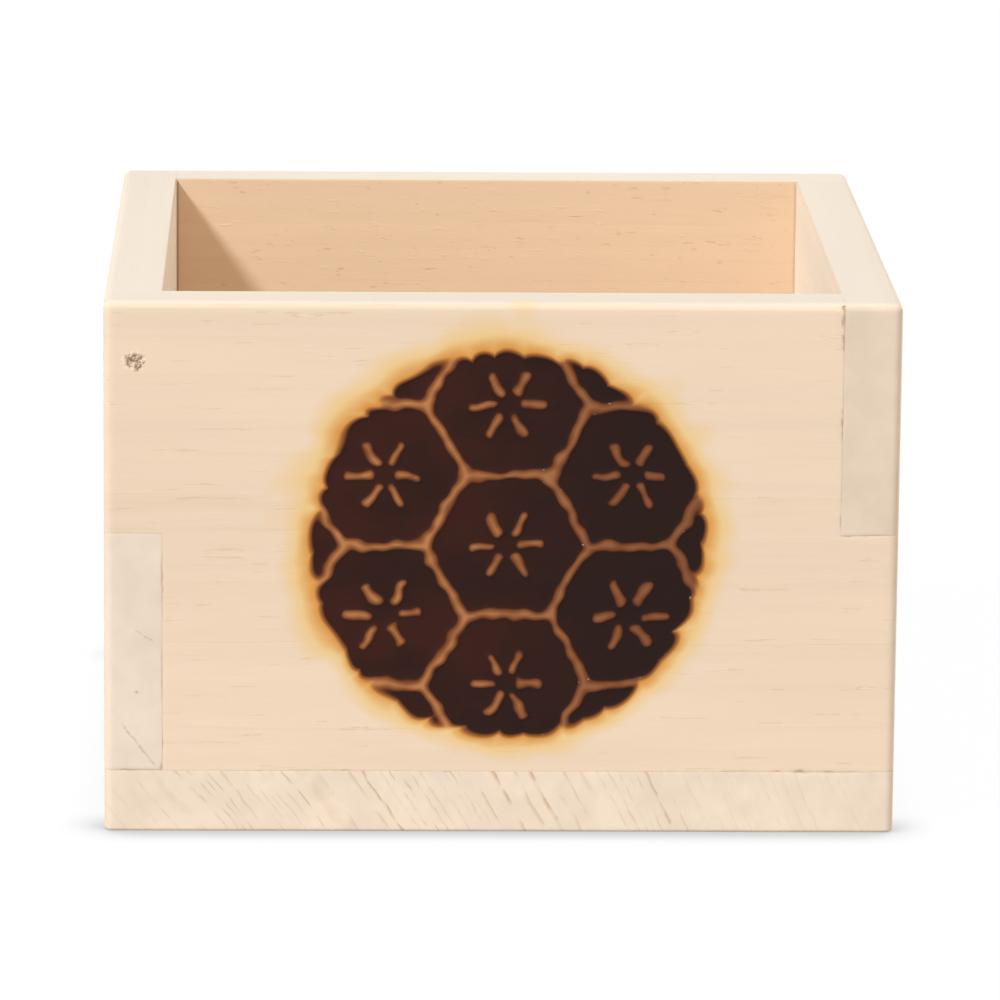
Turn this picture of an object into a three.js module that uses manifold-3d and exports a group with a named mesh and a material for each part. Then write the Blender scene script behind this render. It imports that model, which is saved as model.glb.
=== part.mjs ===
// A square wooden measuring box. Four boards are half-lapped at the corners, each the same
// way round, and stand on a base board that is as large as the box. All edges that a hand
// meets are sanded after the box is glued, so their easing runs across the joints.
//
// Millimetres, +Z up, origin on the ground at the middle of the base board.

import * as THREE from 'three';
import { mergeVertices } from 'three/addons/utils/BufferGeometryUtils.js';
import Module from 'manifold-3d';

const wasm = await Module();
wasm.setup();

// Driving dimensions

const boxWidth = 85; // outside, left to right
const boxDepth = 85; // outside, front to back
const boxHeight = 58; // outside, from the ground to the rim
const wallThickness = 6.25;
const baseThickness = 6.7;
const lapHeight = 26; // height of a lower tongue, from the wall's foot to its shoulder
const glueFilm = 0.1; // left between any two boards

const cornerRadius = 1; // the four upright outside corners
const rimEase = 0.9; // round on the rim's outer edge
const mouthEase = 0.25; // round on the rim's inner edge
const footEase = 0.4; // round on the base board's lower edge

const easeSteps = 4; // facets of each round edge
const cornerSteps = 5; // facets of each upright corner

const allowance = 1; // spare wood outside the finished faces, which sanding takes off

// Colours of the wood

const faceGrain = 0xf0d6ba;
const endGrain = 0xeed9c2;

// Heights that follow from the sizes above

const wallFoot = baseThickness + glueFilm;
const shoulder = wallFoot + lapHeight; // where the upper and lower tongues of a corner meet

// Outlines

function rectangle(width, depth) {
  const x = width / 2;
  const y = depth / 2;
  return [[x, y], [-x, y], [-x, -y], [x, -y]].map(([cx, cy]) => new THREE.Vector2(cx, cy));
}

function roundedRectangle(width, depth, radius) {
  return rectangle(width - 2 * radius, depth - 2 * radius).flatMap((centre, quarter) => {
    const arc = [];
    for (let i = 0; i <= cornerSteps; i++) {
      const angle = (quarter + i / cornerSteps) * Math.PI / 2;
      const spoke = new THREE.Vector2(radius * Math.cos(angle), radius * Math.sin(angle));
      arc.push(spoke.add(centre));
    }
    return arc;
  });
}

// The elevation of a wall seen from outside: a tongue at the upper left and one at the lower right.
function wallOutline(length) {
  const neck = length / 2 - wallThickness - glueFilm;
  const end = length / 2 + allowance;
  const top = boxHeight + allowance;
  const outline = new THREE.Shape();
  outline.moveTo(-neck, wallFoot);
  outline.lineTo(end, wallFoot);
  outline.lineTo(end, shoulder - glueFilm / 2);
  outline.lineTo(neck, shoulder - glueFilm / 2);
  outline.lineTo(neck, top);
  outline.lineTo(-end, top);
  outline.lineTo(-end, shoulder + glueFilm / 2);
  outline.lineTo(-neck, shoulder + glueFilm / 2);
  outline.closePath();
  return outline;
}

// Solids

// Joins a stack of outlines with equally many points into one closed skin, lowest outline first.
function loft(levels) {
  const count = levels[0].points.length;
  const positions = levels.flatMap(({ points, z }) => points.flatMap((p) => [p.x, p.y, z]));
  const index = [];
  for (let level = 0; level + 1 < levels.length; level++) {
    for (let i = 0; i < count; i++) {
      const a = level * count + i;
      const b = level * count + (i + 1) % count;
      index.push(a, b, b + count, a, b + count, a + count);
    }
  }
  const last = (levels.length - 1) * count;
  for (const [a, b, c] of THREE.ShapeUtils.triangulateShape(levels[0].points, [])) {
    index.push(a, c, b, last + a, last + b, last + c);
  }
  const geometry = new THREE.BufferGeometry();
  geometry.setAttribute('position', new THREE.Float32BufferAttribute(positions, 3));
  geometry.setIndex(index);
  return geometry;
}

// Steps along a quarter round that starts upright: how far it has turned in, and how far it rose.
function quarterRound(radius) {
  const steps = [];
  for (let i = 0; i <= easeSteps; i++) {
    const angle = (i / easeSteps) * Math.PI / 2;
    steps.push({ across: radius * (1 - Math.cos(angle)), along: radius * Math.sin(angle) });
  }
  return steps;
}

// The whole outside of the box as one sanded block, without its hollow.
function sandedBlock(width, depth) {
  const levels = [];
  const ring = (inset, z) => {
    const radius = Math.max(cornerRadius - inset, 0.1);
    levels.push({ points: roundedRectangle(width - 2 * inset, depth - 2 * inset, radius), z });
  };
  for (const { across, along } of quarterRound(footEase).reverse()) {
    ring(across, footEase - along);
  }
  for (const { across, along } of quarterRound(rimEase)) {
    ring(across, boxHeight - rimEase + along);
  }
  return loft(levels);
}

// What sanding takes off the mouth: the hollow, spreading over a quarter round up to the rim.
// It starts out narrower than the hollow, so that it first meets the walls where the round begins.
function mouthCutter(width, depth) {
  const hollowWidth = width - 2 * wallThickness;
  const hollowDepth = depth - 2 * wallThickness;
  const levels = [];
  const ring = (spread, z) => {
    levels.push({ points: rectangle(hollowWidth + 2 * spread, hollowDepth + 2 * spread), z });
  };
  ring(-mouthEase, boxHeight - 2 * mouthEase);
  for (const { across, along } of quarterRound(mouthEase)) {
    ring(across, boxHeight - mouthEase + along);
  }
  ring(mouthEase, boxHeight + allowance);
  return loft(levels);
}

function toSolid(geometry) {
  const bare = geometry.clone();
  bare.deleteAttribute('normal');
  bare.deleteAttribute('uv');
  const merged = mergeVertices(bare);
  return new wasm.Manifold(new wasm.Mesh({
    numProp: 3,
    vertProperties: merged.attributes.position.array,
    triVerts: new Uint32Array(merged.index.array),
  }));
}

function toGeometry(solid) {
  const mesh = solid.getMesh();
  const geometry = new THREE.BufferGeometry();
  geometry.setAttribute('position', new THREE.BufferAttribute(mesh.vertProperties, 3));
  geometry.setIndex(new THREE.BufferAttribute(mesh.triVerts, 1));
  const faceted = geometry.toNonIndexed();
  faceted.computeVertexNormals();
  return faceted;
}

// Pieces

// A wall as it stands at the front of a box that is length wide and across deep.
function wallGeometry(length, across) {
  const board = new THREE.ExtrudeGeometry(wallOutline(length), {
    depth: wallThickness + allowance,
    bevelEnabled: false,
  });
  board.rotateX(Math.PI / 2);
  board.translate(0, wallThickness - across / 2, 0);
  const sanded = toSolid(board)
    .intersect(toSolid(sandedBlock(length, across)))
    .subtract(toSolid(mouthCutter(length, across)));
  return toGeometry(sanded);
}

// The base board: the lowest slice of the sanded block.
function baseGeometry() {
  const thickness = baseThickness + allowance;
  const board = new THREE.BoxGeometry(boxWidth + 2 * allowance, boxDepth + 2 * allowance, thickness);
  board.translate(0, 0, baseThickness - thickness / 2);
  return toGeometry(toSolid(board).intersect(toSolid(sandedBlock(boxWidth, boxDepth))));
}

function timber(color) {
  return new THREE.MeshStandardMaterial({ color, roughness: 0.62, metalness: 0 });
}

function piece(name, geometry, material) {
  const mesh = new THREE.Mesh(geometry, material);
  mesh.name = name;
  return mesh;
}

// Assembly

const measuringBox = new THREE.Group();
measuringBox.name = 'measuring_box';

measuringBox.add(piece('base_board', baseGeometry(), timber(endGrain)));

// Each wall is a front wall, turned a quarter further round the middle of the box.
['front_wall', 'right_wall', 'back_wall', 'left_wall'].forEach((name, quarter) => {
  const geometry = quarter % 2 === 0
    ? wallGeometry(boxWidth, boxDepth)
    : wallGeometry(boxDepth, boxWidth);
  const wall = piece(name, geometry, timber(faceGrain));
  wall.rotation.z = quarter * Math.PI / 2;
  measuringBox.add(wall);
});

export default measuringBox;
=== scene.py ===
"""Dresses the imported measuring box: five boards of pale softwood, glued up and sanded together,
with a round mark burnt into the front one.

Lengths are metres in the row frame, and MM turns millimetres into them. Inside the material
nodes a board's own coordinates are millimetres, with X along its grain and the pith of its log
at Y = Z = 0.
"""

import math
from dataclasses import dataclass

import bpy
import numpy as np
from bpy.props import FloatProperty, FloatVectorProperty, PointerProperty
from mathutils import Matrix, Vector


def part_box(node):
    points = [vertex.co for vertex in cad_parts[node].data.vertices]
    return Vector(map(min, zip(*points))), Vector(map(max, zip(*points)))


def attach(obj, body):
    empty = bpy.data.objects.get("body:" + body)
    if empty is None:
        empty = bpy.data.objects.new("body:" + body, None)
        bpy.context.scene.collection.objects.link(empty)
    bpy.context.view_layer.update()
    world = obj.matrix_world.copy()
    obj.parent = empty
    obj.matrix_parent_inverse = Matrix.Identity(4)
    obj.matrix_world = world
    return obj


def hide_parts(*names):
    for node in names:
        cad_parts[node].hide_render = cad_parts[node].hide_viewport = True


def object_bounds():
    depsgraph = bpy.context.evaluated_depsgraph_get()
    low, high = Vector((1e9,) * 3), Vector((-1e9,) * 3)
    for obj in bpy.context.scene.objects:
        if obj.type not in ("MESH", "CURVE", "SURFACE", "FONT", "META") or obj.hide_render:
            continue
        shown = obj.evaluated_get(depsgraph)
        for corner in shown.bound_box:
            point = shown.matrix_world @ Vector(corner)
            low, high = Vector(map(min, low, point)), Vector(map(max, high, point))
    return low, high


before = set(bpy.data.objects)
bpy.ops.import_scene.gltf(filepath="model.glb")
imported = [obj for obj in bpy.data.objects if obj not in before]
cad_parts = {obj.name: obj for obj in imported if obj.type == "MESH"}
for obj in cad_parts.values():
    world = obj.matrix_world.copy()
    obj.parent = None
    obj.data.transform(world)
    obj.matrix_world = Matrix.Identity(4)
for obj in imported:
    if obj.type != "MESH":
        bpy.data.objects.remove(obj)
CAD_LOW, CAD_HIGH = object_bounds()

bl_info = {
    "name": "Wooden measuring box",
    "version": (1, 0, 0),
    "blender": (4, 5, 0),
    "location": "3D View > Sidebar > Measuring box",
    "description": "Makes the boards of a half-lapped measuring box and its burnt mark",
    "category": "Object",
}

MM = 0.001
TOUCH = 1e-7  # metres, within which two places count as one

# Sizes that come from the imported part

WALL_LOW, WALL_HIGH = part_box("front_wall")
BASE_LOW, BASE_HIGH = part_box("base_board")
WIDTH = CAD_HIGH.x - CAD_LOW.x
DEPTH = CAD_HIGH.y - CAD_LOW.y
HEIGHT = CAD_HIGH.z
WALL = WALL_HIGH.y - WALL_LOW.y
HOLLOW = WIDTH / 2 - WALL
FILM = WALL_LOW.z - BASE_HIGH.z
FOOT = (WALL_LOW.z + BASE_HIGH.z) / 2


def lap_height(node):
    """Where the tongues of a corner meet: the top of the wall's right end, and half a film more."""
    flat = np.zeros(len(node.data.vertices) * 3)
    node.data.vertices.foreach_get("co", flat)
    corners = flat.reshape(-1, 3)
    right_end = corners[corners[:, 0] > WALL_HIGH.x - 0.05 * MM]
    return right_end[:, 2].max() + FILM / 2


LAP = lap_height(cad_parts["front_wall"])

# How each board was cut and where its joints are worn


@dataclass(frozen=True)
class Board:
    """A board: its place in the box, how it was cut from its log, its colours and its knocks.

    It stands that many quarter turns round from the front. The pith is (across, up) in mm, where
    across is y for grain along x and x for grain along y, and along shifts the wood along its
    grain. The rings are strong between two distances from the pith, and show on end grain by the
    share end_line. The colours are names of timber settings. A knock is (x, z, reach, depth) in
    mm on the outside of the board as it stands at the front, and an end knock is (from the
    inside, z, reach, depth) on its end grain.
    """

    node: str
    turns: int
    grain: str
    pith: tuple
    along: float
    ring_width: float
    strong_rings: tuple
    knocks: tuple
    end_knocks: tuple = ()
    slot: str = "wall_wood"
    late_share: float = 0.30
    end_line: float = 0.08
    end_colour: str = "left_end"
    inside_colour: str = "warm_inside"
    torn_inside: float = 0.3


FRONT = Board(
    node="front_wall", slot="marked_wall_wood", turns=0, grain="X",
    pith=(24, -128), along=410, ring_width=2.6, strong_rings=(156, 183),
    knocks=(
        (36.2, 57.7, 0.5, 0.17), (36.2, 56.2, 0.8, 0.13), (36.2, 54.2, 1.8, 0.09),
        (36.2, 50.0, 2.4, 0.02), (36.2, 45.0, 2.0, 0.07), (36.2, 40.0, 3.0, 0.02),
        (-36.2, 9.5, 1.6, 0.04), (-36.2, 17.0, 2.4, 0.03), (-36.2, 27.0, 3.4, 0.04),
        (24.5, 6.8, 0.6, 0.06), (26.1, 6.8, 0.6, 0.07), (29.7, 6.8, 0.6, 0.07),
        (32.4, 6.8, 0.8, 0.12), (35.2, 6.8, 0.9, 0.08), (37.4, 6.8, 0.9, 0.06),
        (38.0, 32.7, 2.2, 0.04),
    ),
)
RIGHT = Board(
    node="right_wall", turns=1, grain="Y",
    pith=(124, -112), along=150, ring_width=2.3, strong_rings=(90, 150), end_line=0.06,
    end_colour="right_end", inside_colour="inside",
    knocks=((-36.2, 12.0, 3.0, 0.08), (20.0, 6.8, 4.0, 0.06)),
    end_knocks=(
        (0.0, 57.7, 0.5, 0.10), (0.0, 56.0, 0.8, 0.07), (0.0, 53.8, 1.6, 0.04),
        (0.0, 45.0, 1.8, 0.03), (3.0, 32.9, 1.4, 0.04),
    ),
)
BACK = Board(
    node="back_wall", turns=2, grain="X",
    pith=(70, 196), along=730, ring_width=2.8, strong_rings=(140, 190), torn_inside=1.0,
    knocks=((36.2, 50.0, 3.0, 0.08),),
)
LEFT = Board(
    node="left_wall", turns=3, grain="Y",
    pith=(-158, -90), along=920, ring_width=2.4, strong_rings=(100, 150), end_line=0.10,
    inside_colour="inside",
    knocks=((36.2, 8.0, 3.0, 0.10), (38.0, 6.8, 3.4, 0.12)),
    end_knocks=(
        (0.0, 28.0, 3.0, 0.05), (0.0, 16.0, 4.0, 0.04), (0.4, 7.0, 0.8, 0.08),
        (3.4, 6.8, 2.4, 0.07),
    ),
)
BASE = Board(
    node="base_board", slot="base_wood", turns=0, grain="Y",
    pith=(-121, -67), along=260, ring_width=1.25, strong_rings=(113, 158), end_line=0.80,
    end_colour="base_end", late_share=0.34,
    knocks=(
        (-39.4, 6.7, 2.2, 0.04), (24.5, 6.7, 0.7, 0.03), (32.6, 6.7, 0.9, 0.09),
        (35.2, 6.7, 0.9, 0.05), (37.4, 6.7, 1.0, 0.03),
    ),
)

# The pin knot on the front wall, (x, y, z) in mm, and the drying cracks in the left wall's end
# grain, as (x, z) in mm, slant in degrees, half length in mm and strength

KNOT = (-39.12, -42.5, 51.43)
CRACKS = (
    (-38.75, 9.5, 52, 3.3, 0.42),
    (-38.2, 21.6, 32, 1.3, 0.30),
    (-39.1, 15.4, 20, 0.3, 0.60),
)

# What a user may change


def paint(red, green, blue):
    """A colour written as 0 to 255 on a screen, as the linear numbers that a shader takes."""
    level = np.array((red, green, blue)) / 255
    linear = np.where(level <= 0.04045, level / 12.92, ((level + 0.055) / 1.055) ** 2.4)
    return tuple(linear.tolist())


def number(name, description, default, lowest=0, **more):
    return FloatProperty(name=name, description=description, default=default, min=lowest, **more)


def length(name, description, millimetres, lowest=0):
    return number(name, description, millimetres * MM, lowest, unit="LENGTH", precision=5)


def share(name, description, default):
    return number(name, description, default, max=1, subtype="FACTOR")


def lamp_colour(name, description, *rgb, **limits):
    return FloatVectorProperty(
        name=name, description=description, default=rgb, size=3, min=0, soft_max=1,
        subtype="COLOR", **limits,
    )


def colour(name, description, *rgb):
    return lamp_colour(name, description, *paint(*rgb), max=1)


class BoxShape(bpy.types.PropertyGroup):
    """Sizes of the joints and of what sanding takes off."""

    joint_gap: length("Joint gap", "What shows of a glue line between two boards", 0.006)
    corner_radius: length("Corner radius", "Round of the four upright outside corners", 1.0)
    rim_ease: length("Rim ease", "Round of the rim's outer edge", 0.9)
    mouth_ease: length("Mouth ease", "Round of the rim's inner edge", 0.25)
    foot_ease: length("Foot ease", "Round of the base board's lower edge", 0.4)
    arris: length("Arris", "Wear all along the edge of a joint", 0.007)
    chip: length("Chip", "Deepest common wear at the edge of a joint", 0.035)
    grid: length("Grid", "Distance between grid lines on plain wood", 0.6)
    mark_grid: length("Mark grid", "Distance between grid lines at the burnt mark", 0.23)


class BurntMark(bpy.types.PropertyGroup):
    """The round mark, a common tortoiseshell pattern with a flower of six strokes in each cell."""

    centre_x: length("Centre across", "Sideways from the middle of the box", 0.53, lowest=-1)
    centre_z: length("Centre height", "Above the ground", 31.6)
    radius: length("Radius", "Of the whole mark", 21.1)
    cell_side: length("Cell side", "Of each six-sided cell of the pattern", 8.8)
    petal_start: length("Petal start", "From the middle of a cell to its strokes", 1.6)
    petal_end: length("Petal end", "From the middle of a cell to the far end of its strokes", 3.6)
    line_width: length("Line width", "Of the unburnt lines", 0.66)
    depth: length("Depth", "How far the iron sank into the wood", 0.2)
    scorch: length("Scorch", "How far the wood is toasted beyond the mark", 4.5)
    char: colour("Char", "Burnt wood", 36, 20, 16)
    red_char: colour("Red char", "Wood that is burnt less", 60, 26, 18)
    brown: colour("Brown", "The edge of the burnt wood", 118, 58, 26)
    orange: colour("Orange", "Toasted wood beside the mark", 222, 150, 66)
    yellow: colour("Yellow", "Toasted wood further out", 243, 205, 136)
    line: colour("Line", "Unburnt lines inside the mark", 190, 128, 82)
    dark_line: colour("Dark line", "The same where the iron was hotter", 128, 84, 62)
    # Painted glint: pale specks at the edges of the char stand for light caught there
    painted_glint: colour("Ash", "Specks of ash at the edges of the char", 214, 206, 200)


class BoxTimber(bpy.types.PropertyGroup):
    """Colours of the wood."""

    face: colour("Face", "Face grain between the growth lines", 244, 220, 194)
    late: colour("Late wood", "Growth lines", 205, 166, 128)
    # Painted sheen: the top of the walls gets a paler colour than the face, standing in for its
    # grazing reflection and stronger light
    rim: colour("Rim", "Sanded top of the walls", 231, 219, 203)
    left_end: colour("Left end", "End grain of the front, left and back walls", 240, 222, 203)
    right_end: colour("Right end", "End grain of the right wall", 234, 213, 192)
    base_end: colour("Base end", "End grain of the base board", 243, 224, 203)
    # Paler planed wood, raised further as painted light so the inner right and left walls look as
    # bright as a strong light would make them
    inside: colour("Inside", "Planed wood inside the box", 248, 237, 221)
    # Painted shade: darkens the round inner edge of the rim, where the key light would make a
    # highlight
    painted_mouth_shade: colour("Handled", "Inner edge of the rim, darkened by use", 214, 184, 152)
    warm_inside: colour("Warm inside", "Unsanded wood inside the box", 236, 208, 177)
    knot: colour("Knot", "The pin knot", 152, 122, 92)
    # Grime in worn joints and cracks, and also the colour of the painted shade down the inner
    # corners
    grime_and_corner_shade: colour("Grime", "Worn joints, inner corners and cracks", 178, 149, 121)
    # Pale raised fibres; in the middles of the dashes they also stand in for a painted highlight
    pale: colour("Pale fibres", "Raised fibres in dashes and at the knot", 255, 236, 211)


class StudioLight(bpy.types.PropertyGroup):
    """The lamps, the sky and how the floor looks."""

    key: number("Key", "Strength of the sun lamp", 2.6)
    fill: number("Fill", "Strength of the sky", 0.46)
    card: number("Card", "Strength of the white card at the right", 0.7)
    back: number("Back card", "Strength of the white card behind the box", 1.0)
    key_colour: lamp_colour("Key colour", "Cool light of the sun lamp", 0.96, 1.0, 1.06)
    fill_colour: lamp_colour("Fill colour", "Warm light of the sky", 1.09, 1.0, 0.87)
    softness: number("Softness", "Width of the sun lamp", math.radians(8), subtype="ANGLE")
    bounce: share("Bounce", "How much light the floor sends back", 0.5)
    contact: share("Contact shadow", "How dark the floor is under the box's edge", 0.36)


# Shapes as arrays


def smooth(low, high, value):
    """3 t^2 - 2 t^3, where t is how far value has come from low to high, kept from 0 to 1."""
    way = np.clip((value - low) / (high - low), 0, 1)
    return way * way * (3 - 2 * way)


def ripple(u, v, wavelength, seed, waves=9):
    """A random field mostly between -1 and 1: the sum of sine waves of about one wavelength, each
    in its own direction from its own start, over the root of twice their number."""
    draw = np.random.default_rng(seed)
    turn, start = draw.uniform(0, 2 * math.pi, (2, waves))
    pitch = 2 * math.pi / (wavelength * draw.uniform(0.7, 1.4, waves))
    across = np.multiply.outer(u, pitch * np.cos(turn))
    up = np.multiply.outer(v, pitch * np.sin(turn))
    return np.sin(across + up + start).sum(axis=-1) / math.sqrt(2 * waves)


def ease_lines(radius, steps=5):
    """Distances from a sharp edge at which grid lines lie, so that they are evenly spread round
    it once it is eased: radius * (1 - tan a), for a from 45 degrees down to 0."""
    return radius * (1 - np.tan(np.linspace(math.pi / 4, 0, steps + 1)))


def fill(knots, spacing):
    """Grid lines through all knots, with each gap cut into equal steps no longer than
    spacing(middle of the gap)."""
    knots = np.unique(np.round(knots, 8))
    gaps = [
        np.linspace(a, b, math.ceil((b - a) / spacing((a + b) / 2)), endpoint=False)
        for a, b in zip(knots[:-1], knots[1:])
    ]
    return np.append(np.concatenate(gaps), knots[-1])


def sheet(us, vs, place, keep=None, flip=False):
    """Four-sided faces over the grid of us and vs, whose corners are at place(u, v). Of the
    cells, those are kept for which keep(u, v) holds at their middle."""
    u, v = np.meshgrid(us, vs, indexing="ij")
    corners = np.stack(np.broadcast_arrays(*place(u, v)), axis=-1).reshape(-1, 3)
    index = np.arange(u.size).reshape(u.shape)
    ring = (index[:-1, :-1], index[1:, :-1], index[1:, 1:], index[:-1, 1:])
    faces = np.stack(ring[::-1] if flip else ring, axis=-1)
    if keep is not None:
        faces = faces[keep(((us[:-1] + us[1:]) / 2)[:, None], ((vs[:-1] + vs[1:]) / 2)[None, :])]
    return corners, faces.reshape(-1, 4)


def ribbon(loop, ys):
    """Carries a closed outline of (x, z) points straight through the lines ys: a point of it
    goes to (x, y, z) for each y."""
    rows = np.repeat(loop, len(ys), axis=0)
    corners = np.column_stack((rows[:, 0], np.tile(ys, len(loop)), rows[:, 1]))
    here = np.arange(len(loop))[:, None] * len(ys) + np.arange(len(ys) - 1)[None, :]
    onward = np.roll(here, -1, axis=0)
    faces = np.stack((here, here + 1, onward + 1, onward), axis=-1)
    return corners, faces.reshape(-1, 4)


def thinning(loop, kept, y_fine, y_coarse):
    """Joins a closed outline at y_fine to its kept points at y_coarse: each fine step makes a
    triangle with the kept point at or before it, and each kept step one with the fine point at
    its end."""
    coarse = loop[kept]
    corners = np.concatenate((
        np.column_stack((loop[:, 0], np.full(len(loop), y_fine), loop[:, 1])),
        np.column_stack((coarse[:, 0], np.full(len(coarse), y_coarse), coarse[:, 1])),
    ))
    here = np.arange(len(loop))
    onward = np.roll(here, -1)
    owner = len(loop) + (np.cumsum(kept) - 1) % len(coarse)
    fans = np.stack((here, owner, onward), axis=-1)
    ends = kept[onward]
    closers = np.stack((onward[ends], owner[ends], owner[onward][ends]), axis=-1)
    return corners, np.concatenate((fans, closers))


def weld(*parts):
    """Puts sheets together: corners at one place become one, and unused ones go. Gives the
    corners, the four-sided faces and the triangles."""
    corners = np.concatenate([part[0] for part in parts])
    starts = np.cumsum([0] + [len(part[0]) for part in parts[:-1]])
    _, first, same = np.unique(
        np.round(corners, 8), axis=0, return_index=True, return_inverse=True
    )
    same = same.reshape(-1)
    shifted = [same[part[1] + start] for part, start in zip(parts, starts)]
    quads = np.concatenate([faces for faces in shifted if faces.shape[1] == 4])
    triangles = np.concatenate(
        [faces for faces in shifted if faces.shape[1] == 3] or [np.zeros((0, 3), int)]
    )
    used, places_used = np.unique(
        np.concatenate((quads.reshape(-1), triangles.reshape(-1))), return_inverse=True
    )
    quads = places_used[: quads.size].reshape(-1, 4)
    triangles = places_used[quads.size:].reshape(-1, 3)
    return corners[first[used]], quads, triangles


def round_edge(a, b, radius):
    """Eases a sharp edge. a and b are the depths of points under its two faces. Round the
    edge's axis, p = radius - a and q = radius - b lie on a square of half width max(p, q), which
    shrinks onto the circle of that radius."""
    p = np.maximum(radius - a, 0)
    q = np.maximum(radius - b, 0)
    shrink = 1 - np.maximum(p, q) / np.maximum(np.hypot(p, q), 1e-12)
    both = (p > 0) & (q > 0)
    return a + np.where(both, p * shrink, 0), b + np.where(both, q * shrink, 0)


def sand(points, width, depth, shape):
    """Rounds everything that a hand meets on a box of that width and depth: the mouth, then the
    rim and the foot, then the upright corners, where the way in from a side turns from one
    face's to the other's."""
    half = np.array((width, depth))[:, None] / 2
    plan = points.T[:2]
    sign = np.sign(plan)
    beyond = abs(plan) - (half - WALL)
    below_rim = HEIGHT - points[:, 2]
    into_wall, below_rim = round_edge(beyond.max(axis=0), below_rim, shape.mouth_ease)
    in_x = beyond[0] > beyond[1]
    plan = np.where((in_x, ~in_x), sign * (into_wall + half - WALL), plan)

    depths = half - abs(plan)
    nearest, below_rim = round_edge(depths.min(axis=0), below_rim, shape.rim_ease)
    nearest, z = round_edge(nearest, HEIGHT - below_rim, shape.foot_ease)
    spokes = np.maximum(shape.corner_radius - depths, 0)
    direction = spokes / np.maximum(np.hypot(*spokes), 1e-12)
    round_corner = shape.corner_radius - direction * (shape.corner_radius - nearest)
    under_x = depths[0] <= depths[1]
    flat = np.where((under_x, ~under_x), nearest, depths)
    depths = np.where((spokes > 0).all(axis=0), round_corner, flat)
    return np.column_stack((*(sign * (half - depths)), z))


def joint_wear(distance, u, v, seed, shape, knocks=()):
    """How deep the wood is worn at a distance from a joint. At the joint itself the depth is the
    arris, and a chip where a short ripple is high on a stretch where a long one is, and more
    round each knock. It fades out smoothly over 0.2 mm and two depths."""
    stretch = smooth(-0.3, 0.7, ripple(u, v, 16 * MM, seed))
    chips = smooth(0.1, 0.9, ripple(u, v, 1.6 * MM, seed + 1)) * stretch
    depth = shape.arris + shape.chip * chips
    ragged = 0.4 + 0.6 * smooth(-0.5, 0.6, ripple(u, v, 1.1 * MM, seed + 2))
    for knock_u, knock_v, reach, extra in knocks:
        away = np.hypot(u - knock_u * MM, v - knock_v * MM) / (reach * MM)
        depth = depth + extra * MM * ragged * np.exp(-away * away)
    return depth * (1 - smooth(0, 0.2 * MM + 2 * depth, distance))


def to_segment(x, z, x0, z0, x1, z1):
    """Distance in the plane from (x, z) to an upright or level stretch between two corners."""
    return np.hypot(x - np.clip(x, x0, x1), z - np.clip(z, z0, z1))


# Pieces

SEAM_LINES = np.array((0, 0.05, 0.12, 0.25, 0.45)) * MM  # grid lines lie so far from a joint
MARK_MARGIN = 2.4 * MM  # how far the close grid goes beyond the mark
FAR_FROM_MARK = 50 * MM
SCALLOPS = 38


def soft_max(a, b, rounding):
    """The larger of two distances, with the crease where they are equal rounded off."""
    return (a + b + np.hypot(a - b, rounding)) / 2


def to_flower(u, v, mark):
    """Distance to the nearest of six radial strokes: the point is turned by the multiple of 60
    degrees that brings it nearest to the first stroke."""
    turn = np.arctan2(v, u)
    turn = turn - np.round(turn / (math.pi / 3)) * (math.pi / 3)
    reach = np.hypot(u, v)
    along, aside = reach * np.cos(turn), reach * np.sin(turn)
    return np.hypot(along - np.clip(along, mark.petal_start, mark.petal_end), aside)


def mark_fields(x, z, mark):
    """Two signed distances on the front, both negative inside: to the burnt cells, and to the
    round outline of the whole mark.

    The middles of six-sided cells of side s lie on two grids of 3 s by root 3 s, the second half
    a step from the first both ways. From the nearest middle, the way to the cell's edge is
    root 3 s / 2 less the largest of the three spans across its pairs of sides. Unburnt lines
    follow those edges and the strokes of a flower. The cells are what the outline, a circle
    with scallops that fade out beyond it, holds without them, with soft maxima for round
    corners. Ripples waver it all, as hand-cut irons do."""
    away = np.array((x - mark.centre_x, z - mark.centre_z))
    turn = np.arctan2(away[1], away[0])
    scallops = abs(np.sin(turn * SCALLOPS / 2 + 1.5 * ripple(x, z, 9 * MM, 15)))
    notch = 0.48 * MM * (1.1 + 0.8 * ripple(x, z, 7 * MM, 19)) * (1 - scallops ** 0.7)
    outline = np.hypot(*away) - mark.radius + 0.35 * MM * ripple(x, z, 9 * MM, 16)
    outline = outline + notch * (1 - smooth(0.2 * MM, 1.4 * MM, outline))
    away = away + MM * np.array([
        0.30 * ripple(x, z, 8 * MM, seed) + 0.17 * ripple(x, z, 2.7 * MM, seed + 1)
        for seed in (11, 13)
    ])
    pitch = mark.cell_side * np.array((3, math.sqrt(3)))[:, None]
    near = away - np.round(away / pitch) * pitch
    far = away - (np.floor(away / pitch) + 0.5) * pitch
    u, v = np.where(np.hypot(*near) < np.hypot(*far), near, far)
    slant_u, slant_v = math.sqrt(3) / 2 * u, v / 2
    spans = soft_max(abs(slant_u + slant_v), abs(slant_u - slant_v), 0.4 * MM)
    to_edge = pitch[1] / 2 - soft_max(abs(v), spans, 0.4 * MM)
    half_line = mark.line_width / 2 * (1 + 0.3 * ripple(x, z, 2.2 * MM, 17))
    unburnt = np.minimum(to_edge, to_flower(u, v, mark)) - half_line
    return soft_max(outline, -unburnt, 0.5 * MM), outline


def burn(x, z, mark):
    """How far the iron pressed the front in, and the two distances that its colours follow."""
    cells, outline = mark_fields(x, z, mark)
    pressed = mark.depth * smooth(0, 0.4 * MM, -cells)
    toasted = 0.2 * mark.depth * smooth(0, 0.8 * MM, -outline)
    crackle = 0.07 * mark.depth * ripple(x, z, 1.5 * MM, 18) * smooth(0.3 * MM, MM, -cells)
    return np.maximum(pressed, toasted) + crackle, cells, outline


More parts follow.
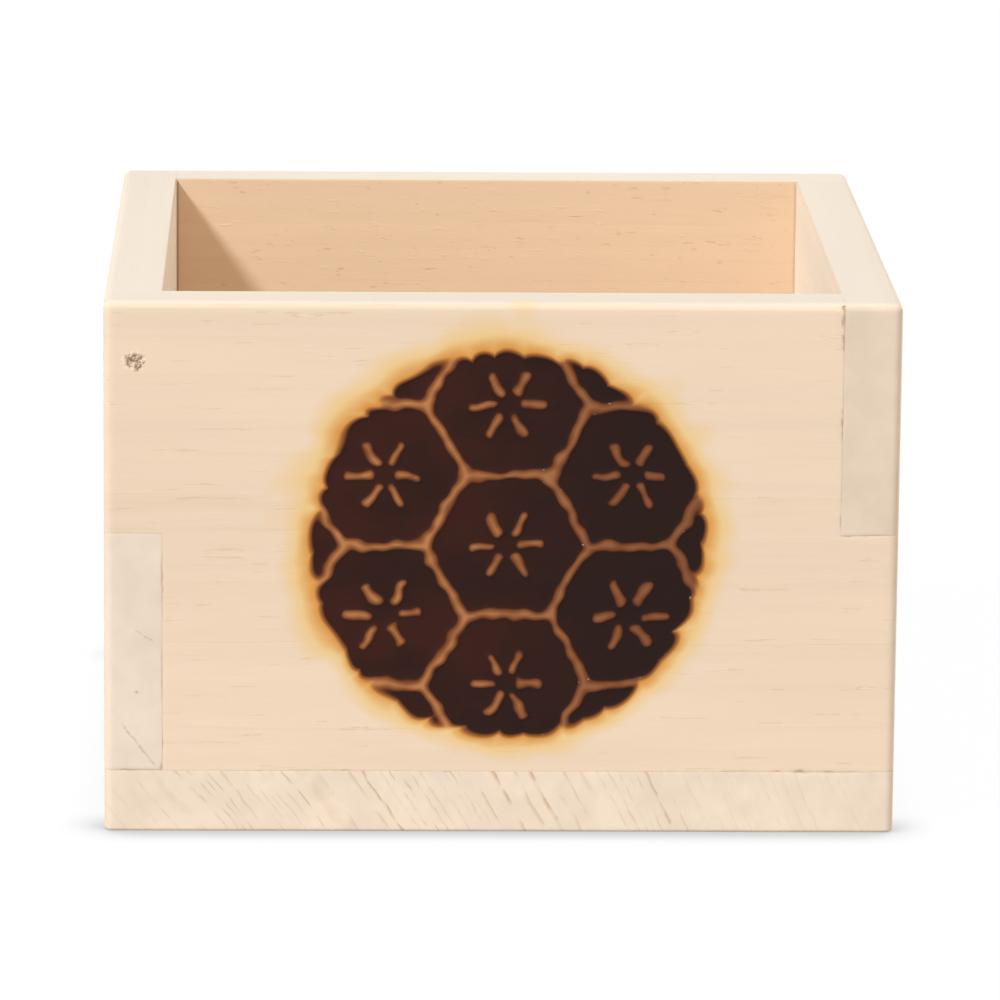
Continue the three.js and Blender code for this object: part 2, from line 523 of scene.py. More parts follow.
def wall_lines(span, across, shape, mark):
    """The grid lines of a wall in x, y and z, and which of the x and z lines its inside keeps:
    all, or with a mark those at edges and joints and every fourth of the others."""
    end = span / 2
    neck = end - WALL - shape.joint_gap
    corner, rim, mouth = (
        ease_lines(radius) for radius in (shape.corner_radius, shape.rim_ease, shape.mouth_ease)
    )
    right_knots = np.concatenate((end - corner, neck - SEAM_LINES, end - WALL + mouth))
    x_knots = np.append(-right_knots, right_knots)
    to_seam = shape.joint_gap / 2 + SEAM_LINES
    z_knots = (FOOT + to_seam, LAP + to_seam, LAP - to_seam, HEIGHT - rim, HEIGHT - mouth)
    z_knots = np.concatenate(z_knots)
    outside = -across / 2
    inside = outside + WALL
    y_knots = (outside + corner, outside + rim, inside - mouth, inside - SEAM_LINES)
    ys = fill(np.concatenate(y_knots), lambda middle: 1.5 * MM)
    if mark is None:
        xs, zs = (fill(knots, lambda middle: shape.grid) for knots in (x_knots, z_knots))
        return xs, ys, zs, np.full(len(xs), True), np.full(len(zs), True)

    reach = mark.radius + MARK_MARGIN

    def close_lines(knots, centre):
        low, high = centre - reach, centre + reach
        lines = fill(
            np.append(knots, (low, high)),
            lambda middle: shape.mark_grid if low < middle < high else shape.grid,
        )
        return lines, np.isin(lines, np.round(knots, 8)) | (np.arange(len(lines)) % 4 == 0)

    xs, keep_x = close_lines(x_knots, mark.centre_x)
    zs, keep_z = close_lines(z_knots, mark.centre_z)
    return xs, ys, zs, keep_x, keep_z


def wall_outline(xs, zs, span, shape):
    """Walks round a wall's elevation, seen from outside, against the clock from the foot of its
    left shoulder: an upper tongue at the left and a lower one at the right."""
    end = span / 2
    neck = end - WALL - shape.joint_gap
    half_gap = shape.joint_gap / 2
    foot, left, right = FOOT + half_gap, LAP + half_gap, LAP - half_gap
    turns = (
        (-neck, foot), (end, foot), (end, right), (neck, right),
        (neck, HEIGHT), (-end, HEIGHT), (-end, left), (-neck, left),
    )
    legs = []
    for (x0, z0), (x1, z1) in zip(turns, turns[1:] + turns[:1]):
        lines, start, stop = (xs, x0, x1) if z0 == z1 else (zs, z0, z1)
        low, high = sorted((start, stop))
        steps = lines[(lines > low - TOUCH) & (lines < high + TOUCH)]
        steps = (steps if start < stop else steps[::-1])[:-1]
        level = np.full(len(steps), z0 if z0 == z1 else x0)
        legs.append(np.column_stack((steps, level) if z0 == z1 else (level, steps)))
    return np.concatenate(legs), turns


def wall_skin(board, shape, mark=None):
    """The closed skin of a wall as it stands at the front, before it is turned to its place, with
    its wear and the mark's two distances at each corner.

    The outside is y = -across / 2 over the elevation, with its grid lines close together at the
    mark. The edge band carries the elevation's outline through the thickness, and thins out to
    the coarser lines of the inside. Then wear and the mark press the outside in along y, wear
    presses the ends in along x, and sanding rounds the whole."""
    span, across = (WIDTH, DEPTH) if board.turns % 2 == 0 else (DEPTH, WIDTH)
    xs, ys, zs, keep_x, keep_z = wall_lines(span, across, shape, mark)
    loop, turns = wall_outline(xs, zs, span, shape)
    (left_neck, foot), (end, _), (_, right), (neck, _) = turns[:4]
    left = turns[6][1]
    outside, inside = ys[0], ys[-1]

    def in_elevation(x, z):
        return ~(((x < left_neck) & (z < left)) | ((x > neck) & (z > right)))

    kept = np.isin(np.round(loop[:, 0], 8), np.round(xs[keep_x], 8)) & np.isin(
        np.round(loop[:, 1], 8), np.round(zs[keep_z], 8)
    )
    turn_y = np.searchsorted(ys, outside + shape.corner_radius + 0.01 * MM)
    points, quads, triangles = weld(
        sheet(xs, zs, lambda x, z: (x, outside, z), in_elevation),
        ribbon(loop, ys[: turn_y + 1]),
        thinning(loop, kept, ys[turn_y], ys[turn_y + 1]),
        ribbon(loop[kept], ys[turn_y + 1:]),
        sheet(xs[keep_x], zs[keep_z], lambda x, z: (x, inside, z), in_elevation, flip=True),
    )

    x, y, z = points.T.copy()
    seams = (
        (left_neck, foot, end, foot), (left_neck, foot, left_neck, left),
        (-end, left, left_neck, left), (neck, right, neck, HEIGHT), (neck, right, end, right),
    )
    to_seam = np.minimum.reduce([to_segment(x, z, *seam) for seam in seams])
    to_back = inside - y
    to_end_seam = np.minimum.reduce((to_back, abs(z - foot), abs(z - left), abs(z - right)))
    seed = 100 * board.turns
    on_outside = y == outside
    on_ends = end - abs(x) < TOUCH
    face_wear = np.where(on_outside, joint_wear(to_seam, x, z, seed + 20, shape, board.knocks), 0)
    end_wear = np.where(
        on_ends, joint_wear(to_end_seam, to_back, z, seed + 40, shape, board.end_knocks), 0
    )
    inward = face_wear
    fields = {"worn": np.maximum(face_wear, end_wear)}
    if mark is not None:
        pressed, cells, outline = burn(x, z, mark)
        inward = face_wear + np.where(on_outside, pressed, 0)
        fields["burnt_cells"] = np.where(on_outside, cells, FAR_FROM_MARK)
        fields["burnt_outline"] = np.where(on_outside, outline, FAR_FROM_MARK)
    pressed_in = np.column_stack((x - np.sign(x) * end_wear, y + inward, z))
    return sand(pressed_in, span, across, shape), quads, triangles, fields


def base_skin(board, shape):
    """The closed skin of the base board: its six sides as sheets, worn where the walls are glued
    on and rounded at the foot and the corners."""
    top = FOOT - shape.joint_gap / 2
    foot = ease_lines(shape.foot_ease)
    eases = np.append(ease_lines(shape.corner_radius), foot)
    xs, ys = (
        fill(np.concatenate((eases - side / 2, side / 2 - eases)), lambda middle: shape.grid)
        for side in (WIDTH, DEPTH)
    )
    zs = fill(np.concatenate((foot, top - SEAM_LINES)), lambda middle: shape.grid)
    points, quads, triangles = weld(
        sheet(xs, ys, lambda x, y: (x, y, top)),
        sheet(xs, ys, lambda x, y: (x, y, 0), flip=True),
        sheet(xs, zs, lambda x, z: (x, ys[0], z)),
        sheet(xs, zs, lambda x, z: (x, ys[-1], z), flip=True),
        sheet(ys, zs, lambda y, z: (xs[0], y, z), flip=True),
        sheet(ys, zs, lambda y, z: (xs[-1], y, z)),
    )
    x, y, z = points.T.copy()
    round_the_box = np.where(abs(x) > abs(y), y + 2 * DEPTH, x)
    worn = joint_wear(top - z, round_the_box, z, 501, shape, board.knocks)
    worn_x = np.where(WIDTH / 2 - abs(x) < TOUCH, worn, 0)
    worn_y = np.where(DEPTH / 2 - abs(y) < TOUCH, worn, 0)
    pressed_in = np.column_stack((x - np.sign(x) * worn_x, y - np.sign(y) * worn_y, z))
    sanded = sand(pressed_in, WIDTH, DEPTH, shape)
    return sanded, quads, triangles, {"worn": np.maximum(worn_x, worn_y)}


def quarter_turns(points, turns):
    """(x, y) goes to (-y, x) with each quarter turn."""
    x, y, z = points.T
    for _ in range(turns):
        x, y = -y, x
    return np.column_stack((x, y, z))


def into_scene(name, data):
    made = bpy.data.objects.new(name, data)
    bpy.context.scene.collection.objects.link(made)
    return made


def add_piece(board, points, quads, triangles, fields, material):
    """Makes the mesh, stores each field on its corners in millimetres, and puts the piece in the
    place of its CAD node."""
    mesh = bpy.data.meshes.new(board.node + "_wood")
    mesh.from_pydata(points.tolist(), [], quads.tolist() + triangles.tolist())
    mesh.shade_smooth()
    for name, values in fields.items():
        attribute = mesh.attributes.new(name, "FLOAT", "POINT")
        attribute.data.foreach_set("value", (values / MM).astype(np.float32))
    mesh.materials.append(material)
    piece = into_scene(mesh.name, mesh)
    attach(piece, "root")
    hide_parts(board.node)


# Materials


def maths(operation):
    """A method that sends a wire, and the other value if there is one, through a math node."""
    return lambda wire, *other: wire.graph.math(operation, wire, *other)


@dataclass
class Wire:
    """An output of a node. Whatever is done with it adds the nodes for that and gives a wire."""

    graph: "Graph"
    socket: bpy.types.NodeSocket

    __add__ = maths("ADD")
    __sub__ = maths("SUBTRACT")
    __mul__ = maths("MULTIPLY")
    __truediv__ = maths("DIVIDE")
    __pow__ = maths("POWER")
    __abs__ = maths("ABSOLUTE")
    root = maths("SQRT")
    whole = maths("FLOOR")
    fraction = maths("FRACT")
    smaller = maths("MINIMUM")
    larger = maths("MAXIMUM")

    def __rsub__(self, other):
        return self.graph.math("SUBTRACT", other, self)

    def parts(self):
        outputs = self.graph.node("ShaderNodeSeparateXYZ", {0: self})
        return [outputs[axis] for axis in range(3)]

    def stretch(self, factors):
        inputs = {0: self, 1: factors}
        return self.graph.node("ShaderNodeVectorMath", inputs, operation="MULTIPLY")[0]

    def fade(self, low, high, start=0.0, end=1.0):
        """Goes smoothly from start where this is low to end where it is high."""
        inputs = {0: self, 1: low, 2: high, 3: start, 4: end}
        return self.graph.node("ShaderNodeMapRange", inputs, interpolation_type="SMOOTHSTEP")[0]

    def noise(self, factors, detail=1.0, roughness=0.5):
        """Noise in the space that this has been stretched to."""
        inputs = {"Vector": self.stretch(factors), "Scale": 1.0, "Detail": detail}
        return self.graph.node("ShaderNodeTexNoise", {**inputs, "Roughness": roughness})["Fac"]

    def line_noise(self, scale):
        inputs = {"W": self, "Scale": scale, "Detail": 2.0}
        return self.graph.node("ShaderNodeTexNoise", inputs, noise_dimensions="1D")["Fac"]


class Graph:
    """Adds nodes to a node tree."""

    def __init__(self, tree):
        self.tree = tree

    def node(self, kind, inputs=None, **settings):
        """Adds a node with these settings, and feeds its inputs with wires or plain values. Gives
        wires from its outputs, by number and by name."""
        made = self.tree.nodes.new(kind)
        for name, value in settings.items():
            setattr(made, name, value)
        for key, value in (inputs or {}).items():
            socket = made.inputs[key]
            if isinstance(value, Wire):
                self.tree.links.new(value.socket, socket)
            else:
                socket.default_value = (*value[:3], 1) if socket.type == "RGBA" else value
        wires = [Wire(self, socket) for socket in made.outputs]
        return {**dict(enumerate(wires)), **{wire.socket.name: wire for wire in wires}}

    def math(self, operation, *values):
        return self.node("ShaderNodeMath", dict(enumerate(values)), operation=operation)[0]

    def attribute(self, name):
        return self.node("ShaderNodeAttribute", attribute_name=name)["Fac"]

    def mix(self, part, a, b, way="MIX"):
        inputs = {0: part, 6: a, 7: b}
        return self.node("ShaderNodeMix", inputs, data_type="RGBA", blend_type=way)[2]

    def layers(self, colour, *coats):
        """Lays coats, each a share and a colour, over a colour one after the other."""
        for part, coat in coats:
            colour = self.mix(part, colour, coat)
        return colour


def empty_graph(owner):
    """The emptied nodes of a material or a world."""
    owner.use_nodes = True
    owner.node_tree.nodes.clear()
    return Graph(owner.node_tree)


def new_group(name, inputs, outputs):
    """A shader node group with named sockets: the graph to build it with, and its inputs."""
    tree = bpy.data.node_groups.new(name, "ShaderNodeTree")
    add_socket = tree.interface.new_socket
    for title, kind, default in inputs:
        socket = add_socket(name=title, in_out="INPUT", socket_type="NodeSocket" + kind)
        socket.default_value = (*default, 1) if kind == "Color" else default
    for title, kind in outputs:
        add_socket(name=title, in_out="OUTPUT", socket_type="NodeSocket" + kind)
    graph = Graph(tree)
    return graph, graph.node("NodeGroupInput")


RING_SOCKETS = (
    ("Place", "Vector", (0, 0, 0)), ("Ring Width", "Float", 2.0), ("Late Share", "Float", 0.3),
    ("Strong From", "Float", 0.0), ("Strong To", "Float", 900.0),
)


def growth_rings():
    """Growth rings as a solid: the distance from the pith, wavered and unevenly spaced, counts
    the rings, and each darkens slowly towards its outside and ends sharply."""
    name = "growth rings"
    if name in bpy.data.node_groups:
        return bpy.data.node_groups[name]
    graph, entry = new_group(name, RING_SOCKETS, (("Late Wood", "Float"),))
    place = entry["Place"]
    _, across, up = place.parts()
    waver = place.noise((0.02, 0.09, 0.09), 2.0)
    tremble = place.noise((0.04, 0.55, 0.55))
    reach = (across ** 2 + up ** 2).root() + waver * 1.6 + tremble * 0.45
    count = reach / entry["Ring Width"] + reach.line_noise(0.11) * 5.0
    phase = count.fraction()
    rise = phase.fade(1 - entry["Late Share"], 0.94)
    fall = phase.fade(0.93, 1.0, 1.0, 0.0)
    ring = graph.node("ShaderNodeTexWhiteNoise", {"W": count.whole()}, noise_dimensions="1D")[0]
    clear = ring.fade(0.0, 1.0, 0.3, 1.0)
    unbroken = place.noise((0.05, 0.42, 0.42), 2.0).fade(0.38, 0.60)
    within = (reach - entry["Strong From"]).smaller(entry["Strong To"] - reach)
    strong = within.fade(-5.0, 5.0, 0.25, 1.0)
    graph.node("NodeGroupOutput", {"Late Wood": rise * fall * clear * unbroken * strong})
    return graph.tree


def timber():
    """Planed softwood over a plain colour, cut through at any angle: growth rings, long fibres,
    short dashes with pale middles, fine streaks, and clouds and bands of tone. End grain may be
    mottled, and wood that was left unsanded has torn tufts and pits."""
    name = "timber"
    if name in bpy.data.node_groups:
        return bpy.data.node_groups[name]
    graph, entry = new_group(
        name,
        (
            *RING_SOCKETS, ("Clean Colour", "Color", (0.8, 0.6, 0.4)),
            ("Late Colour", "Color", (0.6, 0.4, 0.2)), ("Pale Colour", "Color", (1, 0.9, 0.7)),
            ("Line", "Float", 0.3), ("Dash", "Float", 0.2), ("Torn", "Float", 0.0),
            ("Mottled", "Float", 0.0),
        ),
        (("Colour", "Color"), ("Roughness", "Float"), ("Height", "Float")),
    )
    place, torn, dark = entry["Place"], entry["Torn"], entry["Late Colour"]
    ring_inputs = {socket: entry[socket] for socket, _, _ in RING_SOCKETS}
    late = graph.node("ShaderNodeGroup", ring_inputs, node_tree=growth_rings())["Late Wood"]
    fibre = place.noise((0.13, 2.2, 2.2), 2.0, 0.6)
    streak = place.noise((0.22, 7.0, 7.0), 2.0, 0.65)
    cloud = place.noise((0.012, 0.07, 0.07), 2.0)
    mottle = place.noise((0.03, 0.26, 0.26), 2.0)
    band = place.noise((0.006, 0.45, 0.45))
    tufts = place.noise((0.45, 1.5, 1.5), 3.0, 0.6)
    # The pale middles of the dashes are partly painted highlight beside the dark fibres
    core = fibre.fade(0.715, 0.75)
    dash = fibre.fade(0.67, 0.71) * (1 - core)
    pits = tufts.fade(0.36, 0.27)
    ragged = (tufts.fade(0.62, 0.74) - pits) * 0.022 * torn

    wood = graph.layers(
        entry["Clean Colour"],
        (late * entry["Line"], dark),
        (dash * entry["Dash"], dark),
        (core * entry["Dash"], entry["Pale Colour"]),
        (pits * torn * 0.35, dark),
    )
    tone = (
        streak.fade(0.25, 0.75, 0.986, 1.012)
        + cloud.fade(0.3, 0.7, -0.022, 0.028)
        + band.fade(0.3, 0.7, -0.012, 0.012)
        + mottle.fade(0.3, 0.7, -1.0, 1.0) * entry["Mottled"]
    )
    graph.node("NodeGroupOutput", {
        "Colour": graph.mix(1.0, wood, tone, "MULTIPLY"),
        "Roughness": streak.fade(0.3, 0.7, 0.52, 0.62) + torn * 0.15,
        "Height": dash * -0.008 + late * -0.008 + streak * 0.010 + ragged,
    })
    return graph.tree


@dataclass
class Surface:
    """What a board looks like so far, for the next thing to be laid over it."""

    graph: Graph
    material: bpy.types.Material
    place: Wire
    position: Wire
    colour: Wire
    roughness: Wire
    height: Wire

    def tint(self, part, colour):
        self.colour = self.graph.mix(part, self.colour, colour)

    def lift(self, part, millimetres):
        self.height = self.height + part * millimetres


def bare_wood(board, colours):
    """A board's own wood: end grain where the surface faces along it, the rim, made paler as
    painted sheen, the inside, partly made paler as painted light, painted shade on the round edge
    between them, and grime in worn joints, with painted shade down the inner corners."""
    material = bpy.data.materials.new(board.node.split("_")[0] + "_wood")
    graph = empty_graph(material)
    coordinates = graph.node("ShaderNodeTexCoord")
    position = coordinates["Object"]
    along_x = board.grain == "X"
    pith_across, pith_up = board.pith
    place = graph.node("ShaderNodeMapping", {
        "Vector": position,
        "Location": (board.along, -pith_across if along_x else pith_across, -pith_up),
        "Rotation": (0, 0, 0 if along_x else -math.pi / 2),
        "Scale": (1 / MM,) * 3,
    })[0]
    x, y, z = position.parts()
    nx, ny, nz = coordinates["Normal"].parts()
    from_axis = abs(x).larger(abs(y))

    end = abs(nx if along_x else ny).fade(0.55, 0.85)
    # Painted sheen: surfaces facing up at the top of the walls take the paler rim colour
    rim = nz.fade(0.6, 0.92) * z.fade(HEIGHT - 1.2 * MM, HEIGHT - 0.7 * MM)
    # The right and left walls' inside colour is partly painted light
    inside = from_axis.fade(HOLLOW + 0.3 * MM, HOLLOW + 0.6 * MM, 1.0, 0.0)
    inside = inside * z.fade(FOOT / 2, FOOT * 0.75)
    # Painted shade on the round of the mouth, which faces the key light, to darken its highlight
    mouth = nz.fade(0.05, 0.35) * nz.fade(0.98, 0.85)
    mouth = mouth * from_axis.fade(HOLLOW + 0.5 * MM, HOLLOW + 0.3 * MM, 0.0, 0.6)
    clean = graph.layers(
        colours.face,
        (inside, getattr(colours, board.inside_colour)),
        (rim, colours.rim),
        (mouth, colours.painted_mouth_shade),
        (end, getattr(colours, board.end_colour)),
    )
    wood = graph.node("ShaderNodeGroup", {
        "Place": place, "Ring Width": board.ring_width, "Late Share": board.late_share,
        "Strong From": board.strong_rings[0], "Strong To": board.strong_rings[1],
        "Clean Colour": clean, "Late Colour": colours.late, "Pale Colour": colours.pale,
        "Line": end.fade(0.0, 1.0, 0.11, board.end_line),
        "Dash": end.larger(rim).fade(0.0, 1.0, 0.29, 0.04) * inside.fade(0.0, 1.0, 1.0, 0.5),
        "Torn": inside * board.torn_inside,
        "Mottled": end.fade(0.0, 1.0, 0.0, 0.03),
    }, node_tree=timber())

    torn_joint = graph.attribute("worn").fade(0.0, 0.08, 0.0, 0.6)
    from_corner = abs(abs(x) - HOLLOW).larger(abs(abs(y) - HOLLOW))
    # Painted shade down the inner upright corners, darker at the left corner, where the key light
    # leaves shade
    painted_corner_shade = (
        from_corner.fade(0.35 * MM, 0.1 * MM)
        * inside
        * x.fade(-HOLLOW, HOLLOW, 0.75, 0.35)
        * z.fade(HEIGHT - 0.1 * MM, HEIGHT - 0.6 * MM)
    )
    surface = Surface(
        graph, material, place, position, wood["Colour"], wood["Roughness"], wood["Height"]
    )
    surface.tint(torn_joint.larger(painted_corner_shade), colours.grime_and_corner_shade)
    return surface


def add_knot(surface, colours):
    """A pin knot at the front wall's upper left: a crumbly brown spot with pale crumbs round it."""
    graph = surface.graph
    place = graph.node("ShaderNodeMapping", {
        "Vector": surface.position,
        "Location": [-side for side in KNOT],
        "Scale": (1 / MM,) * 3,
    })[0]
    stretched = {0: place.stretch((0.85, 0.5, 0.95))}
    away = graph.node("ShaderNodeVectorMath", stretched, operation="LENGTH")["Value"]
    away = away + place.noise((1.1, 1.1, 1.1), 2.0).fade(0.2, 0.8, -0.28, 0.28)
    crumbs = place.noise((2.1, 1.0, 2.1), 2.0, 0.6)
    spot = away.fade(1.05, 0.65) * crumbs.fade(0.64, 0.38, 0.15, 1.0)
    pale = away.fade(1.5, 0.9) * crumbs.fade(0.45, 0.65)
    surface.tint(pale, colours.pale)
    surface.tint(spot, colours.knot)
    surface.lift(spot, -0.04)
    surface.lift(pale, 0.03)


def add_crack(surface, colours, x, z, slant, reach, darkness):
    """A drying crack in end grain at the front, with its middle at (x, z) mm: a wavering, blotchy
    line that slants down to the right and thins out at its ends."""
    place = surface.graph.node("ShaderNodeMapping", {
        "Vector": surface.position,
        "Location": (x * MM, -DEPTH / 2, z * MM),
        "Rotation": (0, math.radians(slant), 0),
    }, vector_type="TEXTURE")[0]
    along, depth, aside = place.stretch((1 / MM,) * 3).parts()
    aside = abs(aside + (along + x).line_noise(0.8).fade(0.0, 1.0, 0.12, -0.12))
    blotch = along.line_noise(1.9)
    crack = (
        (aside / blotch.fade(0.35, 0.65, 0.09, 0.17)).fade(1.3, 0.2, 0.0, darkness)
        * blotch.fade(0.3, 0.6, 0.45, 1.0)
        * abs(along).fade(reach, 0.7 * reach)
        * depth.fade(2.0, 1.0)
    )
    surface.tint(crack, colours.grime_and_corner_shade)
    surface.lift(crack, -0.03)


SMOKE_X = 2.2 * MM  # the middle of the smoke
SMOKE_REACH = 2.2 * MM


def add_mark(surface, mark):
    """The burnt mark's colours, which follow two distances kept on the mesh, in mm: yellow and
    orange round it, brown at the edge of each burnt cell, then char. The unburnt lines are
    toasted too, more so at the right, where the iron was hotter. Pale specks along the edges of
    the char, more at the right, are painted glints. Smoke has risen from the mark's top."""
    graph, place = surface.graph, surface.place
    cells, outline = graph.attribute("burnt_cells"), graph.attribute("burnt_outline")
    x, y, z = surface.position.parts()
    front, top = -DEPTH / 2, mark.centre_z + mark.radius
    lick = place.noise((0.35, 0.6, 0.6), 2.0)
    spread = place.noise((0.16, 0.22, 0.22)).fade(0.3, 0.7, 0.75, 1.25) * (mark.scorch / MM)
    spread = spread * z.fade(mark.centre_z - mark.radius, mark.centre_z, 0.72, 1.0)
    out = (outline + lick.fade(0.3, 0.7, -0.10, 0.10)) / spread
    smoke = (
        abs(x - SMOKE_X).fade(SMOKE_REACH, 0.2 * MM, 0.0, 0.30)
        * z.fade(top - MM, top)
        * y.fade(front + MM, front + 2.5 * MM, 1.0, 0.0)
    )
    char = cells.fade(0.09, -0.24)
    hotter = x.fade(mark.centre_x - 0.6 * mark.radius, mark.centre_x + 0.9 * mark.radius)
    patch = place.noise((0.10, 0.16, 0.16), 2.0)
    redness = patch.fade(0.35, 0.65, 0.3, 0.9) * hotter.fade(1.0, 0.0, 0.1, 1.0)
    # Painted glints: pale specks along the edges of the char, more at the right, where those edges
    # face the light
    painted_glint = (
        abs(cells + 0.05).fade(0.12, 0.03)
        * place.noise((1.5, 1.9, 1.9)).fade(0.72, 0.80)
        * hotter.fade(0.2, 0.9, 0.0, 0.55)
    )

    surface.tint(out.fade(1.0, 0.2, 0.0, 0.9).larger(smoke), mark.yellow)
    surface.tint(out.fade(0.42, 0.0, 0.0, 0.95), mark.orange)
    toasted_line = graph.mix(hotter, mark.line, mark.dark_line)
    surface.tint(outline.fade(0.35, -0.45, 0.0, 0.92), toasted_line)
    surface.tint(cells.fade(0.48, 0.0, 0.0, 0.8), mark.brown)
    surface.tint(char, graph.mix(redness, mark.char, mark.red_char))
    surface.tint(painted_glint, mark.painted_glint)
    surface.roughness = surface.roughness - char * 0.25
    surface.lift(lick * char, 0.03)


def finish_surface(surface):
    """Feeds the shader. Height is in millimetres."""
    graph = surface.graph
    height = {"Height": surface.height, "Distance": MM, "Strength": 1.0}
    shader = graph.node("ShaderNodeBsdfPrincipled", {
        "Base Color": surface.colour,
        "Roughness": surface.roughness,
        "Normal": graph.node("ShaderNodeBump", height)[0],
        "Specular IOR Level": 0.12,
    })[0]
    graph.node("ShaderNodeOutputMaterial", {"Surface": shader})
    return surface.material


# Floor, lights and camera

CAMERA_PLACE = (-20.11 * MM, -777.9 * MM, 194.32 * MM)
CAMERA_TURN = (90 - 12.101, -0.524, -1.435)
CAMERA_LENS = 253.9
SUN_TRAVEL = (0.52, 0.48, -0.71)
CARD_TRAVEL = (-0.95, 0.20, -0.24)
CARD_WIDTH = math.radians(70)
BACK_TRAVEL = (-0.62, -0.785, 0.0)
BACK_WIDTH = math.radians(1)
FLOOR_SIZE = 4.0
LIT_SHARE = 0.012  # the part of the white floor that takes the lamps' light and shadows
NEAR_BOX = 6 * MM  # how far the contact shadow reaches


def seen_directly(graph):
    """1 for rays that show the background itself, in view, in gloss or through glass."""
    rays = graph.node("ShaderNodeLightPath")
    return rays["Is Camera Ray"].larger(rays["Is Glossy Ray"].larger(rays["Is Transmission Ray"]))


def add_floor(light):
    """A pale floor that shows white, keeps the shadow where the box meets it, which is darkest
    in front and behind, and sends back only as much light as a grey one."""
    mesh = bpy.data.meshes.new("floor")
    half = FLOOR_SIZE / 2
    mesh.from_pydata(
        [(-half, -half, 0), (half, -half, 0), (half, half, 0), (-half, half, 0)], [], [(0, 1, 2, 3)]
    )
    material = bpy.data.materials.new("floor_paper")
    graph = empty_graph(material)
    _, y, _ = graph.node("ShaderNodeTexCoord")["Object"].parts()
    near = graph.node("ShaderNodeAmbientOcclusion", {"Distance": NEAR_BOX}, samples=16)["AO"]
    contact = abs(y).fade(0.4 * DEPTH, DEPTH / 2, 0.12 * light.contact, light.contact)
    shade = 1 - near.fade(1.0, 0.45) * contact
    white = graph.node("ShaderNodeEmission", {"Color": shade})[0]
    lit = graph.node("ShaderNodeBsdfDiffuse", {"Color": (1, 1, 1)})[0]
    paper = graph.node("ShaderNodeMixShader", {0: LIT_SHARE, 1: white, 2: lit})[0]
    bounce = graph.node("ShaderNodeBsdfDiffuse", {"Color": (light.bounce,) * 3})[0]
    shown = graph.node("ShaderNodeMixShader", {0: seen_directly(graph), 1: bounce, 2: paper})[0]
    graph.node("ShaderNodeOutputMaterial", {"Surface": shown})
    mesh.materials.append(material)
    floor = into_scene("floor", mesh)


def add_sun(name, travel, power, angle, tint=(1, 1, 1)):
    lamp = bpy.data.lights.new(name, "SUN")
    lamp.energy = power
    lamp.color = tint
    lamp.angle = angle
    into_scene(name, lamp).rotation_euler = Vector(travel).to_track_quat("-Z", "Y").to_euler()


def light_studio(light):
    """A soft sun from the upper left front, a wide white card at the right and a level one behind
    the box, which are suns too, and a sky all round that shows white."""
    add_sun("key", SUN_TRAVEL, light.key, light.softness, light.key_colour)
    add_sun("card", CARD_TRAVEL, light.card, CARD_WIDTH)
    add_sun("back_card", BACK_TRAVEL, light.back, BACK_WIDTH)
    world = bpy.data.worlds.new("sky")
    graph = empty_graph(world)
    shown = seen_directly(graph)
    sky = graph.node("ShaderNodeBackground", {
        "Color": graph.mix(shown, light.fill_colour, (1, 1, 1)),
        "Strength": shown * (1 - light.fill) + light.fill,
    })[0]
    graph.node("ShaderNodeOutputWorld", {"Surface": sky})
    bpy.context.scene.world = world


def add_camera():
    """The photograph's camera: far away, a little left of the box and above it."""
    data = bpy.data.cameras.new("camera")
    data.sensor_width = 36
    data.lens = CAMERA_LENS
    data.clip_end = 10
    camera = into_scene("camera", data)
    camera.location = CAMERA_PLACE
    camera.rotation_euler = [math.radians(turn) for turn in CAMERA_TURN]
    bpy.context.scene.camera = camera


# Operators


class MEASURINGBOX_OT_front_wall(bpy.types.Operator):
    """Make the front wall with its burnt mark"""

    bl_idname = "measuring_box.front_wall"
    bl_label = "Front wall"

    def execute(self, context):
        scene = context.scene
        skin = wall_skin(FRONT, scene.box_shape, scene.burnt_mark)
        surface = bare_wood(FRONT, scene.box_timber)
        add_knot(surface, scene.box_timber)
        add_mark(surface, scene.burnt_mark)
        add_piece(FRONT, *skin, finish_surface(surface))
        return {"FINISHED"}


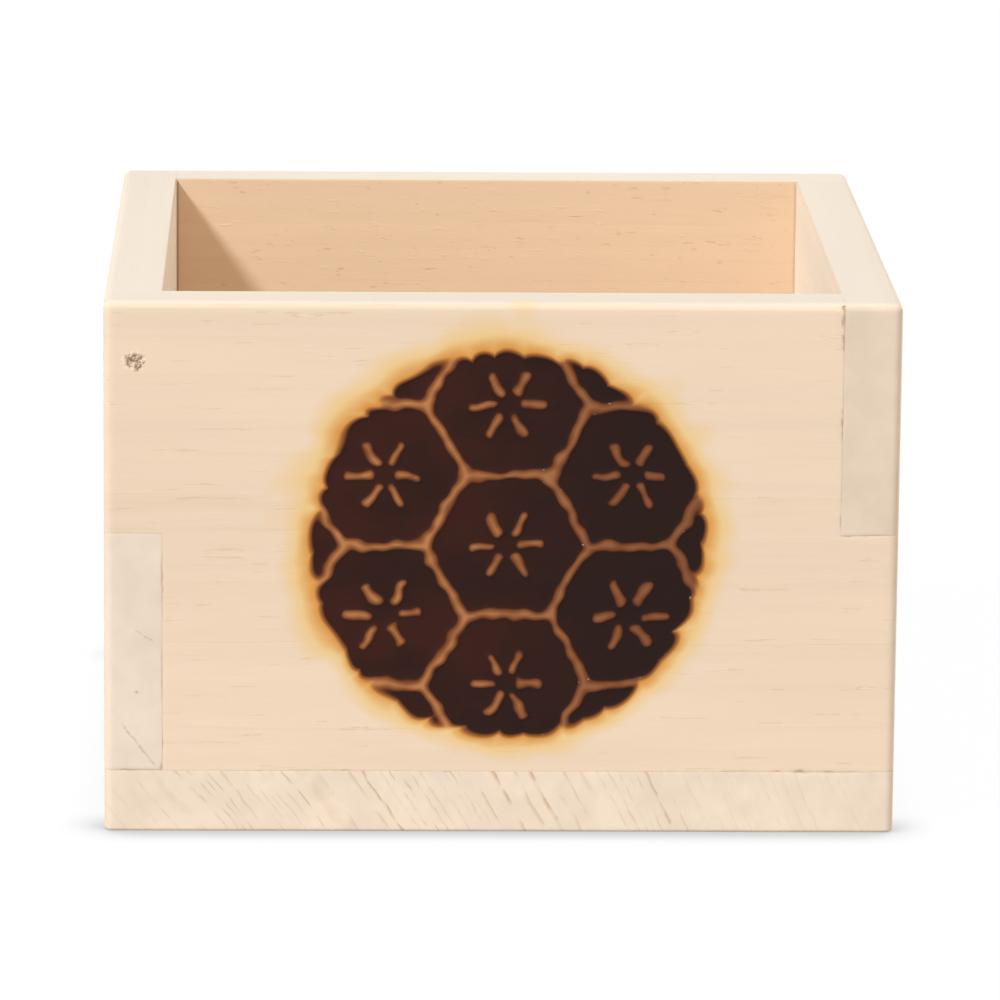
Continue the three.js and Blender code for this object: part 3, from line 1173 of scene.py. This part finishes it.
class MEASURINGBOX_OT_plain_walls(bpy.types.Operator):
    """Make the right, back and left walls"""

    bl_idname = "measuring_box.plain_walls"
    bl_label = "Plain walls"

    def execute(self, context):
        scene = context.scene
        for board in (RIGHT, BACK, LEFT):
            points, *rest = wall_skin(board, scene.box_shape)
            surface = bare_wood(board, scene.box_timber)
            for crack in CRACKS if board is LEFT else ():
                add_crack(surface, scene.box_timber, *crack)
            material = finish_surface(surface)
            add_piece(board, quarter_turns(points, board.turns), *rest, material)
        return {"FINISHED"}


class MEASURINGBOX_OT_base_board(bpy.types.Operator):
    """Make the base board"""

    bl_idname = "measuring_box.base_board"
    bl_label = "Base board"

    def execute(self, context):
        scene = context.scene
        material = finish_surface(bare_wood(BASE, scene.box_timber))
        add_piece(BASE, *base_skin(BASE, scene.box_shape), material)
        return {"FINISHED"}


class MEASURINGBOX_OT_stage(bpy.types.Operator):
    """Make the floor, the lights and the camera"""

    bl_idname = "measuring_box.stage"
    bl_label = "Stage"

    def execute(self, context):
        light = context.scene.studio_light
        add_floor(light)
        light_studio(light)
        add_camera()
        context.scene.view_settings.view_transform = "Standard"
        return {"FINISHED"}


class MEASURINGBOX_PT_panel(bpy.types.Panel):
    """Lists what the box is made of"""

    bl_idname = "MEASURINGBOX_PT_panel"
    bl_label = "Measuring box"
    bl_space_type = "VIEW_3D"
    bl_region_type = "UI"
    bl_category = "Measuring box"

    def draw(self, context):
        for operator in OPERATORS:
            self.layout.operator(operator.bl_idname)
        for name in SETTINGS:
            settings = getattr(context.scene, name)
            box = self.layout.box()
            for setting in settings.__annotations__:
                box.prop(settings, setting)


OPERATORS = (
    MEASURINGBOX_OT_front_wall, MEASURINGBOX_OT_plain_walls,
    MEASURINGBOX_OT_base_board, MEASURINGBOX_OT_stage,
)
SETTINGS = {
    "box_shape": BoxShape, "burnt_mark": BurntMark,
    "box_timber": BoxTimber, "studio_light": StudioLight,
}
CLASSES = (*SETTINGS.values(), *OPERATORS, MEASURINGBOX_PT_panel)


def register():
    for made in CLASSES:
        bpy.utils.register_class(made)
    for name, settings in SETTINGS.items():
        setattr(bpy.types.Scene, name, PointerProperty(type=settings))


def unregister():
    for name in SETTINGS:
        delattr(bpy.types.Scene, name)
    for made in reversed(CLASSES):
        bpy.utils.unregister_class(made)


def main():
    register()
    bpy.ops.measuring_box.front_wall()
    bpy.ops.measuring_box.plain_walls()
    bpy.ops.measuring_box.base_board()
    bpy.ops.measuring_box.stage()


if __name__ == "__main__":
    main()
